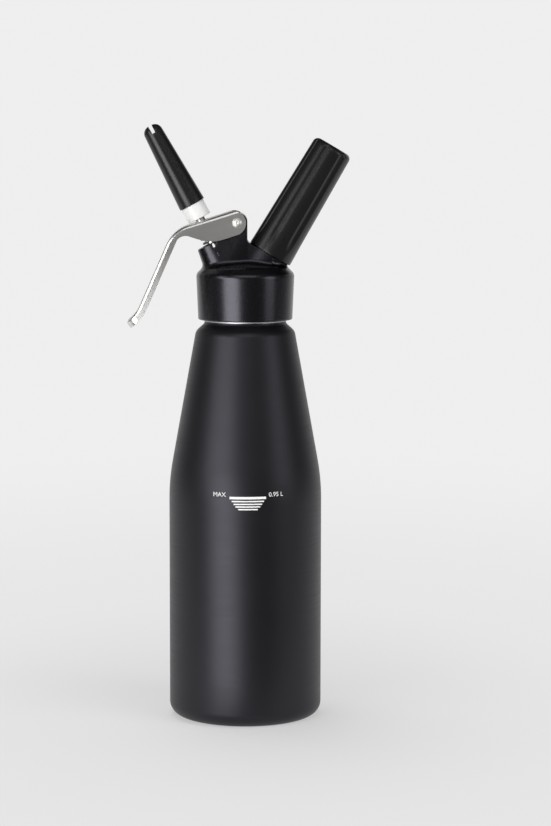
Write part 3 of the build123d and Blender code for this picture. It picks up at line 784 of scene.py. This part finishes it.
def make_holder():
    """Fluted screw cap: an outline swung about the charger's axis, drawn in at the flutes."""
    corners = [
        (holder_thread_bore, 0),
        (holder_radius, 0),
        (holder_top_radius, holder_length),
        (0, holder_length),
        (0, holder_floor),
        (holder_bore, holder_floor),
        (holder_bore, holder_step),
        (holder_thread_bore, holder_step),
    ]
    points, _, _ = rounded_outline(corners, holder_rounds)
    outline = []
    for one, two in zip(points, points[1:] + points[:1]):
        outline.append(one)
        on_flank = one[0] > holder_top_radius - holder_row_slack and two[0] > holder_row_least
        parts = int(hypot(*(two - one)) / holder_row) if on_flank else 1
        outline.extend(one + (two - one) * part / parts for part in range(1, parts))
    segments = flute_segments * flute_count
    angles = np.arange(segments) * 2 * pi / segments

    def reach(radius, height):
        """A row's radius from spoke to spoke; only the outside above its foot is fluted."""
        if radius > holder_thread_bore + flute_wall and height > flute_foot:
            return flute_reach(radius, height, angles)
        return np.full(segments, radius)

    spokes = spokes_about(charger_axis, segments)
    rows, places = ring_rows(charger_base, charger_axis, outline, spokes, reach)
    faces = []
    for one in range(len(outline)):
        two = (one + 1) % len(outline)
        for step in range(segments):
            after = (step + 1) % segments
            ring = [rows[one][step], rows[one][after], rows[two][after], rows[two][step]]
            ring = [corner for place, corner in enumerate(ring) if corner != ring[place - 1]]
            if len(ring) > 2:
                faces.append(ring)
    holder = add_object("charger_holder_cap", places, faces, sharp_angle=40)
    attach(holder, "charger_holder")
    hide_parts("charger_holder")
    holder.data.materials.append(black_plastic())


# Tip adaptor

adaptor_lift = 17.4
adaptor_radius = 7.5
socket_top = 26.8
socket_radius = 3.0
spigot_base = 27.07
spigot_top = 38.57
spigot_root = 5.1
spigot_bore = 2.6
spigot_thread_height = 0.5
spigot_thread_pitch = 2.0
spigot_thread_low = spigot_base + 3.0
spigot_thread_high = spigot_top - 1.1
adaptor_rounds = [0.2, 0.5, 0.5, 0.2, 0.5, 0.3, 0, 0]


def make_adaptor():
    """White adaptor with a threaded spigot."""
    corners = [
        (socket_radius, adaptor_lift),
        (adaptor_radius, adaptor_lift),
        (adaptor_radius, spigot_base),
        (spigot_root, spigot_base),
        (spigot_root, spigot_top),
        (spigot_bore, spigot_top),
        (spigot_bore, socket_top),
        (socket_radius, socket_top),
    ]
    adaptor = turned("tip_adaptor_body", valve_top, valve_axis, corners, adaptor_rounds)
    thread = screw_thread(
        "tip_adaptor_thread", valve_top, valve_axis, spigot_root, spigot_thread_height, spigot_thread_pitch,
        spigot_thread_low, spigot_thread_high,
    )
    for piece in (adaptor, thread):
        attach(piece, "valve")
        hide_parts("tip_adaptor")
        piece.data.materials.append(white_plastic())


# Materials

made_materials = {}
lever_bend_centre = np.array([9.5, 0, -72.8])
lever_lean = radians(20)
COAT_TINT = (0.88, 0.87, 1.0, 1.0)
NOISE_DETAIL = 3.0
NOISE_LOW = 0.3
NOISE_HIGH = 0.7


def node(tree, kind, inputs=None, **settings):
    """Adds a shader node; an input takes a value or another node's output."""
    made = tree.nodes.new(kind)
    for name, value in settings.items():
        setattr(made, name, value)
    for name, value in (inputs or {}).items():
        if isinstance(value, bpy.types.NodeSocket):
            tree.links.new(value, made.inputs[name])
        else:
            made.inputs[name].default_value = value
    return made


def mapped(tree, value, low, high, out_low, out_high, kind="LINEAR"):
    """Maps a value from one range to another and gives the output."""
    made = node(
        tree,
        "ShaderNodeMapRange",
        {"Value": value, "From Min": low, "From Max": high, "To Min": out_low, "To Max": out_high},
        interpolation_type=kind,
    )
    return made.outputs["Result"]


def math_node(tree, operation, *values):
    """A math node's output."""
    return node(tree, "ShaderNodeMath", dict(enumerate(values)), operation=operation).outputs[0]


def vector_node(tree, operation, *values):
    """A vector math node's output."""
    return node(tree, "ShaderNodeVectorMath", dict(enumerate(values)), operation=operation).outputs[0]


def grain(tree, size, rotate=(0, 0, 0)):
    """Noise whose features have a size in millimetres along X, Y and Z of the object."""
    place = node(tree, "ShaderNodeTexCoord").outputs["Object"]
    turned_place = node(tree, "ShaderNodeMapping", {"Vector": place, "Rotation": rotate}).outputs[0]
    scale = tuple(1 / (length * MM) for length in size)
    scaled = vector_node(tree, "MULTIPLY", turned_place, scale)
    noise = node(tree, "ShaderNodeTexNoise", {"Vector": scaled, "Scale": 1.0, "Detail": NOISE_DETAIL})
    return noise.outputs["Fac"]


def turning_about(tree, centre):
    """Direction along a bent piece that turns about a line parallel to Y through a point in millimetres."""
    place = node(tree, "ShaderNodeTexCoord").outputs["Object"]
    away = vector_node(tree, "SUBTRACT", place, tuple(centre * MM))
    along = vector_node(tree, "CROSS_PRODUCT", away, (0, 1, 0))
    return vector_node(tree, "NORMALIZE", along)


def surface(name, dark, pale, rough, bump, tint_size=40.0, rough_size=(1.5, 1.5, 1.5), rotate=(0, 0, 0),
            bump_size=(0.4, 0.4, 0.4), metallic=0.0, constants=None, brushed_about=None):
    """A material whose colour, roughness and bump come from noise at their own sizes.

    Colours run between dark and pale, roughness between a low and a high value, and bump is a depth in mm.
    Brushed metal may turn about a point, with its brush lines along the piece.
    """
    if name in made_materials:
        return made_materials[name]
    material = bpy.data.materials.new(name)
    material.use_nodes = True
    tree = material.node_tree
    tree.nodes.clear()
    tint = mapped(tree, grain(tree, (tint_size,) * 3), NOISE_LOW, NOISE_HIGH, 0.0, 1.0)
    colour = node(tree, "ShaderNodeMix", {"Factor": tint}, data_type="RGBA")
    colour.inputs["A"].default_value = (*dark, 1)
    colour.inputs["B"].default_value = (*pale, 1)
    roughness = mapped(tree, grain(tree, rough_size, rotate), NOISE_LOW, NOISE_HIGH, *rough)
    relief = node(
        tree,
        "ShaderNodeBump",
        {"Height": grain(tree, bump_size, rotate), "Distance": bump * MM, "Strength": 1.0},
    )
    shader = node(
        tree,
        "ShaderNodeBsdfPrincipled",
        {
            "Base Color": colour.outputs["Result"],
            "Roughness": roughness,
            "Normal": relief.outputs["Normal"],
            "Metallic": metallic,
            **(constants or {}),
        },
    )
    if brushed_about is not None:
        tree.links.new(turning_about(tree, brushed_about), shader.inputs["Tangent"])
    node(tree, "ShaderNodeOutputMaterial", {"Surface": shader.outputs[0]})
    made_materials[name] = material
    return material


def bottle_coat():
    """Satin black coating over a finely brushed bottle: faint lines round it."""
    return surface(
        "bottle_coat", (0.0025, 0.0025, 0.003), (0.0035, 0.0035, 0.004), (0.40, 0.46), 0.003,
        rough_size=(30, 30, 0.6), bump_size=(25, 25, 0.35), constants={"Specular Tint": COAT_TINT},
    )


def bare_aluminium():
    """Turned bare metal of the neck and the inside."""
    return surface(
        "bare_aluminium", (0.58, 0.58, 0.59), (0.64, 0.64, 0.65), (0.46, 0.54), 0.003,
        rough_size=(20, 20, 0.3), bump_size=(20, 20, 0.25), metallic=1.0,
    )


def head_coat():
    """Smooth black coating on the casting, with a trace of orange peel."""
    return surface(
        "head_coat", (0.0008, 0.0008, 0.001), (0.0012, 0.0012, 0.0014), (0.24, 0.28), 0.0004,
        rough_size=(2.0, 2.0, 2.0), bump_size=(0.8, 0.8, 0.8),
        constants={"Specular IOR Level": 0.6, "Specular Tint": COAT_TINT},
    )


def lever_steel():
    """Pressed stainless steel, brushed along the handle."""
    return surface(
        "lever_steel", (0.80, 0.785, 0.765), (0.86, 0.845, 0.825), (0.28, 0.30), 0.0001, tint_size=8.0,
        rough_size=(14, 0.8, 0.8), bump_size=(12, 0.6, 0.6), rotate=(0, lever_lean, 0), metallic=1.0,
        constants={"Anisotropic": 0.7, "Anisotropic Rotation": 0.25},
        brushed_about=pivot + lever_bend_centre,
    )


def pin_steel():
    """Satin steel of the lever's pin."""
    return surface(
        "pin_steel", (0.82, 0.81, 0.78), (0.88, 0.87, 0.84), (0.46, 0.56), 0.0005,
        rough_size=(0.6, 0.6, 0.6), metallic=1.0,
    )


def bright_steel():
    """Turned and polished steel."""
    return surface(
        "bright_steel", (0.66, 0.65, 0.63), (0.72, 0.71, 0.69), (0.26, 0.34), 0.001,
        rough_size=(0.6, 0.6, 0.6), metallic=1.0,
    )


def spring_steel():
    """Drawn spring wire."""
    return surface(
        "spring_steel", (0.32, 0.32, 0.32), (0.40, 0.40, 0.40), (0.42, 0.50), 0.001,
        rough_size=(0.5, 0.5, 0.5), metallic=1.0,
    )


def charger_steel():
    """Bright drawn steel of the gas charger."""
    return surface(
        "charger_steel", (0.60, 0.60, 0.61), (0.68, 0.68, 0.69), (0.18, 0.28), 0.001,
        rough_size=(1.0, 1.0, 1.0), metallic=1.0,
    )


def carrier_brass():
    """Turned brass."""
    return surface(
        "carrier_brass", (0.70, 0.54, 0.26), (0.78, 0.62, 0.32), (0.18, 0.3), 0.001,
        rough_size=(0.6, 0.6, 0.6), metallic=1.0,
    )


def black_plastic():
    """Moulded black plastic with a fine satin grain."""
    return surface(
        "black_plastic", (0.006, 0.006, 0.0065), (0.008, 0.008, 0.0085), (0.27, 0.32), 0.0012,
        rough_size=(1.2, 1.2, 1.2), bump_size=(0.6, 0.6, 0.6), constants={"Specular IOR Level": 0.42},
    )


def white_plastic():
    """Smooth white plastic."""
    return surface(
        "white_plastic", (0.77, 0.77, 0.765), (0.81, 0.81, 0.805), (0.30, 0.38), 0.001,
        bump_size=(0.6, 0.6, 0.6),
    )


def pale_rubber():
    """Pale seal rubber."""
    return surface("pale_rubber", (0.68, 0.67, 0.65), (0.76, 0.75, 0.73), (0.55, 0.68), 0.006)


def black_rubber():
    """Black seal rubber."""
    return surface("black_rubber", (0.028, 0.028, 0.028), (0.04, 0.04, 0.04), (0.5, 0.62), 0.006)


def white_print():
    """White screen print."""
    return surface(
        "white_print", (0.78, 0.78, 0.78), (0.86, 0.86, 0.86), (0.45, 0.55), 0.003, tint_size=1.2,
    )


node_materials = {
    "valve_stem": bright_steel,
    "valve_seal": pale_rubber,
    "stem_o_ring": black_rubber,
    "spring_liner": white_plastic,
    "thrust_washer": bright_steel,
    "adaptor_seal": pale_rubber,
    "nozzle_seal": pale_rubber,
    "nozzle": black_plastic,
    "lever": lever_steel,
    "lever_pin": pin_steel,
    "gas_charger": charger_steel,
    "charger_gasket": black_rubber,
    "pin_carrier": carrier_brass,
    "piercing_pin": bright_steel,
    "carrier_seal": black_rubber,
    "check_valve": pale_rubber,
    "head_gasket": pale_rubber,
}
soft_edges = {"nozzle": 0.35, "lever": 0.3, "thrust_washer": 0.15, "valve_stem": 0.15}
soft_edge_steps = 3
soft_edge_angle = radians(35)


def dress_nodes():
    """Gives the CAD nodes that stay their materials, and some of them softer edges."""
    for name, make in node_materials.items():
        obj = nodes[name]
        for index in range(len(obj.data.materials)):
            obj.data.materials[index] = make()
        if name in soft_edges:
            weld = obj.modifiers.new("weld", "WELD")
            weld.merge_threshold = NEARLY_ZERO
            bevel = obj.modifiers.new("bevel", "BEVEL")
            bevel.width = soft_edges[name] * MM
            bevel.segments = soft_edge_steps
            bevel.limit_method = "ANGLE"
            bevel.angle_limit = soft_edge_angle
            bevel.harden_normals = True


# Stage, light and camera
#
# The camera, the lamps and the table's shading are in metres, and camera_shift in pixels of the photograph.
# backdrop_turn and ambient_turn are ranges of a direction's Y, and backdrop_edge of its Z.
# table_shadow and table_fade are ranges of the distance from the object.

PHOTO_HEIGHT = 826
camera_lens = 115.2
camera_sensor = 36.0
camera_shift = 30.2
camera_near = 0.05
camera_place = (0.0, -1.650, 0.375)
camera_pitch = 6.35
lamp_target = Vector((0, 0, 0.18))
WHITE = (1, 1, 1, 1)
BACKDROP = 0.86
backdrop_turn = (0.05, 1.05)
backdrop_light = 0.9
backdrop_edge = (0.30, 0.42)
ambient_turn = (-0.2, 0.4)
ambient_light = (0.13, 0.01)
TABLE = 0.79
table_half = 1500
table_view = -290
table_front = -110
table_back = 2500
table_matt = (0.8, 0.8, 0.8, 1)
table_stretch = (1.1, 0.72, 1)
table_shadow = (0.05, 0.30)
table_shadow_share = 0.55
table_fade = (0.15, 1.0)


def add_camera():
    """The camera at the photograph's viewing angle."""
    data = bpy.data.cameras.new("camera")
    data.lens = camera_lens
    data.sensor_width = camera_sensor
    data.shift_x = camera_shift / PHOTO_HEIGHT
    data.clip_start = camera_near
    camera = bpy.data.objects.new("camera", data)
    camera.location = camera_place
    camera.rotation_euler = (radians(90 - camera_pitch), 0.0, 0.0)
    bpy.context.scene.collection.objects.link(camera)
    bpy.context.scene.camera = camera


def add_world():
    """Pale all round for the camera; as light, a pale backdrop low behind the object and dim elsewhere."""
    world = bpy.data.worlds.new("studio")
    bpy.context.scene.world = world
    world.use_nodes = True
    tree = world.node_tree
    tree.nodes.clear()
    way = node(tree, "ShaderNodeTexCoord").outputs["Generated"]
    axes = node(tree, "ShaderNodeSeparateXYZ", {"Vector": way})
    behind = mapped(tree, axes.outputs["Y"], *backdrop_turn, 0.0, backdrop_light, "SMOOTHSTEP")
    below = mapped(tree, axes.outputs["Z"], *backdrop_edge, 1.0, 0.0, "SMOOTHSTEP")
    ambient = mapped(tree, axes.outputs["Y"], *ambient_turn, *ambient_light)
    strength = math_node(tree, "MULTIPLY_ADD", behind, below, ambient)
    path = node(tree, "ShaderNodeLightPath").outputs
    seen = math_node(tree, "MAXIMUM", path["Is Camera Ray"], path["Is Transmission Ray"])
    lit = node(tree, "ShaderNodeBackground", {"Strength": strength, "Color": WHITE})
    plain = node(tree, "ShaderNodeBackground", {"Strength": BACKDROP, "Color": WHITE})
    mix = node(tree, "ShaderNodeMixShader", {0: seen, 1: lit.outputs[0], 2: plain.outputs[0]})
    node(tree, "ShaderNodeOutputWorld", {"Surface": mix.outputs[0]})


def floor_strip(name, near, far):
    """A strip of the table top between two distances along Y."""
    return add_object(
        name,
        [(-table_half, near, 0), (table_half, near, 0), (table_half, far, 0), (-table_half, far, 0)],
        [[0, 1, 2, 3]],
    )


def add_floor():
    """A pale table top that fades into the background; its front strip shows in no reflection."""
    table = floor_strip("table", table_front, table_back)
    front_strip = floor_strip("table_front", table_view, table_front)
    front_strip.visible_glossy = False
    front_strip.visible_shadow = False
    material = bpy.data.materials.new("table")
    material.use_nodes = True
    tree = material.node_tree
    tree.nodes.clear()
    place = node(tree, "ShaderNodeTexCoord").outputs["Object"]
    nearer = vector_node(tree, "MULTIPLY", place, table_stretch)
    away = node(tree, "ShaderNodeVectorMath", {0: nearer}, operation="LENGTH").outputs["Value"]
    fade = mapped(tree, away, *table_shadow, table_shadow_share, 1.0, "SMOOTHSTEP")
    path = node(tree, "ShaderNodeLightPath").outputs
    seen = math_node(tree, "MAXIMUM", path["Is Camera Ray"], path["Is Glossy Ray"])
    seen = math_node(tree, "MAXIMUM", seen, path["Is Transmission Ray"])
    share = math_node(tree, "MULTIPLY", fade, seen)
    matt = node(tree, "ShaderNodeBsdfDiffuse", {"Color": table_matt})
    strength = mapped(tree, away, *table_fade, TABLE, BACKDROP, "SMOOTHSTEP")
    plain = node(tree, "ShaderNodeEmission", {"Color": WHITE, "Strength": strength})
    mix = node(tree, "ShaderNodeMixShader", {0: share, 1: matt.outputs[0], 2: plain.outputs[0]})
    node(tree, "ShaderNodeOutputMaterial", {"Surface": mix.outputs[0]})
    for strip in (table, front_strip):
        strip.data.materials.append(material)


def add_panel(name, azimuth, height, distance, width, tall, radiance, roll=0):
    """A soft box that faces the object; azimuth in degrees from the front, positive to the right."""
    data = bpy.data.lights.new(name, "AREA")
    data.shape = "RECTANGLE"
    data.size = width
    data.size_y = tall
    data.energy = radiance * pi * width * tall
    lamp = bpy.data.objects.new(name, data)
    angle = radians(azimuth)
    lamp.location = (sin(angle) * distance, -cos(angle) * distance, height)
    facing = (lamp_target - lamp.location).to_track_quat("-Z", "Y")
    lamp.rotation_euler = (facing @ Quaternion((0, 0, 1), radians(roll))).to_euler()
    lamp.visible_camera = False
    bpy.context.scene.collection.objects.link(lamp)
    return lamp


def add_lights():
    """Soft boxes: a tall key and a high one at the left, one at the right and one above the front.

    Two more, overhead and at the right, light the object without showing in its reflections.
    """
    add_panel("key", azimuth=-32, height=-0.02, distance=1.4, width=0.82, tall=1.3, radiance=4.8, roll=24)
    add_panel("left_high", azimuth=-58, height=0.70, distance=1.4, width=0.45, tall=0.8, radiance=2.6)
    add_panel("side", azimuth=60, height=0.5, distance=1.5, width=0.65, tall=0.95, radiance=1.9)
    add_panel("front_top", azimuth=0, height=1.2, distance=1.05, width=1.2, tall=0.9, radiance=1.2)
    hidden = [
        add_panel("overhead", azimuth=-150, height=1.6, distance=0.6, width=1.2, tall=1.2, radiance=3.0),
        add_panel("fill", azimuth=50, height=0.9, distance=1.2, width=0.8, tall=0.8, radiance=2.8),
    ]
    for lamp in hidden:
        lamp.visible_glossy = False


make_bottle()
make_fill_mark()
make_head()
make_spring()
make_holder()
make_adaptor()
dress_nodes()
add_camera()
add_world()
add_floor()
add_lights()

bpy.context.scene.view_settings.view_transform = "Standard"
